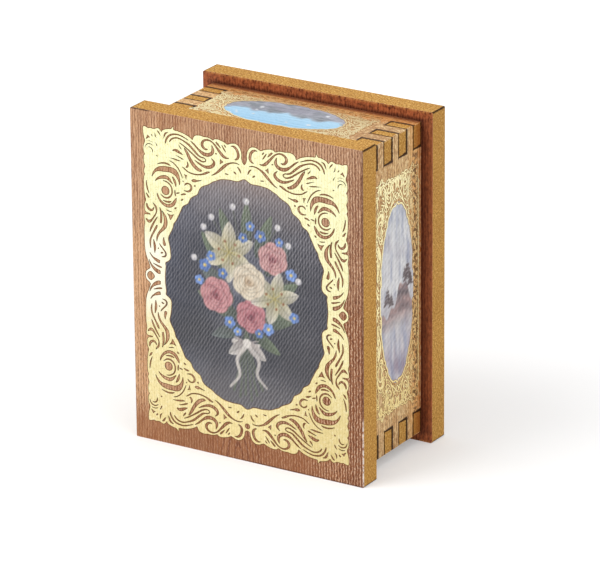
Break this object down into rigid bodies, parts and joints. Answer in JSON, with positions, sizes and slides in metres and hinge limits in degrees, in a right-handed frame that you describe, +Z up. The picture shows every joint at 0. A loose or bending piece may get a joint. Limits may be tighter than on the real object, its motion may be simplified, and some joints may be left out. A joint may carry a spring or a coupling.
{
  "type": "rosary keepsake box",
  "caption": "Small upright wooden keepsake box: comb-jointed walls between two overhanging plates, with a lift-off lid and gilt scrollwork round oval pictures.",
  "frame": {"origin": "middle of the underside, on the surface that the box stands on", "axes": "+Z up along the height, lid face towards -Y, +X to the right of the lid face"},
  "size_m": [0.064, 0.038, 0.084],
  "materials": {
    "board_edge": "bare fibreboard, edges browned by the laser",
    "board_inside": "bare sanded fibreboard",
    "lid_print": "wood-print sheet, embossed, satin",
    "wall_print": "pale wood-print sheet, satin",
    "base_print": "red-brown wood-print sheet, satin",
    "gold_foil": "hot-stamped gold foil, glossy",
    "picture_print": "printed picture, satin"
  },
  "bodies": {
    "box": {"base_board": "board_edge", "base_face_sheet": "base_print", "top_wall": "board_edge", "bottom_wall": "board_edge", "left_wall": "board_edge", "right_wall": "board_edge", "top_wall_sheet": "wall_print", "bottom_wall_sheet": "wall_print", "left_wall_sheet": "wall_print", "right_wall_sheet": "wall_print"},
    "lid": {"lid_board": "board_edge", "lid_face_sheet": "lid_print", "lid_locating_board": "board_inside"}
  },
  "joints": [
    {"name": "lid_lift", "type": "slide", "parent": "box", "child": "lid", "axis": [0, -1, 0], "range_m": [0, 0.06]}
  ]
}
